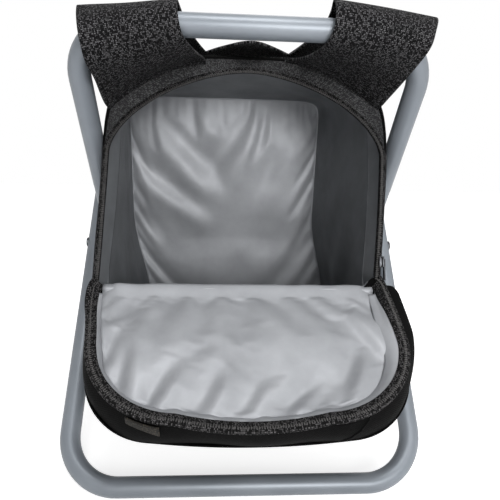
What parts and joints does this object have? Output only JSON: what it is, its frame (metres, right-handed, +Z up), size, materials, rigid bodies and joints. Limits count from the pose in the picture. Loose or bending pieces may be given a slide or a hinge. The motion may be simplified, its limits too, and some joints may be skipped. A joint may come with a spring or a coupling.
{
  "type": "folding cooler stool",
  "caption": "Folding stool on crossed bent-tube legs with a sling seat over an insulated cooler bag that has a drop-down zipped front flap and silver lining.",
  "frame": {"origin": "on the floor, below the middle of the whole stool with its flap open", "axes": "+X to the right of the stool, -Y out of the cooler mouth, +Z up"},
  "size_m": [0.3606, 0.44, 0.4362],
  "materials": {
    "frame_steel": "satin blue-grey powder coat",
    "zinc_hardware": "zinc plated",
    "black_plastic": "satin moulded",
    "black_fabric": "coarse woven polyester",
    "zipper_tape": "fine woven tape",
    "silver_lining": "silver coated film, soft sheen",
    "foam": "closed-cell foam"
  },
  "bodies": {
    "outer_frame": {"outer_frame_tube": "frame_steel", "outer_joint_sleeve": "zinc_hardware", "outer_joint_rivet_left": "zinc_hardware", "outer_joint_rivet_right": "zinc_hardware", "pivot_rivet_left": "zinc_hardware", "pivot_rivet_right": "zinc_hardware", "pivot_spacer_left": "black_plastic", "pivot_spacer_right": "black_plastic", "pivot_washer_left": "zinc_hardware", "pivot_washer_right": "zinc_hardware", "pivot_cap_left": "black_plastic", "pivot_cap_right": "black_plastic", "rear_sleeve_left": "black_fabric", "rear_sleeve_right": "black_fabric"},
    "bag": {"bag_shell": "black_fabric", "bag_insulation": "foam", "bag_liner": "silver_lining", "mouth_zipper_tape": "zipper_tape", "hinge_strip": "black_fabric", "seat_panel": "black_fabric", "front_web_left": "black_fabric", "front_web_right": "black_fabric", "rear_web_left": "black_fabric", "rear_web_right": "black_fabric"},
    "inner_frame": {"inner_frame_tube": "frame_steel", "inner_joint_sleeve": "zinc_hardware", "inner_joint_rivet_left": "zinc_hardware", "inner_joint_rivet_right": "zinc_hardware", "front_sleeve_left": "black_fabric", "front_sleeve_right": "black_fabric"},
    "flap": {"flap_shell": "black_fabric", "flap_insulation": "foam", "flap_liner": "silver_lining", "flap_zipper_tape": "zipper_tape", "pull_tab": "zipper_tape"},
    "slider": {"zipper_slider": "zinc_hardware"},
    "puller": {"zipper_pull": "zinc_hardware"}
  },
  "joints": [
    {"name": "fold_rear", "type": "hinge", "parent": "outer_frame", "child": "bag", "pos_m": [0, 0.0481, 0.21281], "axis": [-1, 0, 0], "range_deg": [0, 30], "deforming": ["seat_panel", "front_web_left", "front_web_right", "rear_web_left", "rear_web_right"]},
    {"name": "fold_front", "type": "hinge", "parent": "bag", "child": "inner_frame", "pos_m": [0, 0.0481, 0.21281], "axis": [-1, 0, 0], "range_deg": [0, 30]},
    {"name": "flap_hinge", "type": "hinge", "parent": "bag", "child": "flap", "pos_m": [0, -0.07695, 0.22194], "axis": [-1, 0, 0], "range_deg": [0, 137]},
    {"name": "zipper_run", "type": "slide", "parent": "bag", "child": "slider", "axis": [0, 0.2588, 0.9659], "range_m": [0, 0.09]},
    {"name": "puller_swing", "type": "hinge", "parent": "slider", "child": "puller", "pos_m": [0.1323, -0.08339, 0.2214], "axis": [-1, 0, 0], "range_deg": [0, 90]}
  ],
  "couplings": [
    {"joint": "fold_front", "follows": "fold_rear", "ratio": 1}
  ]
}
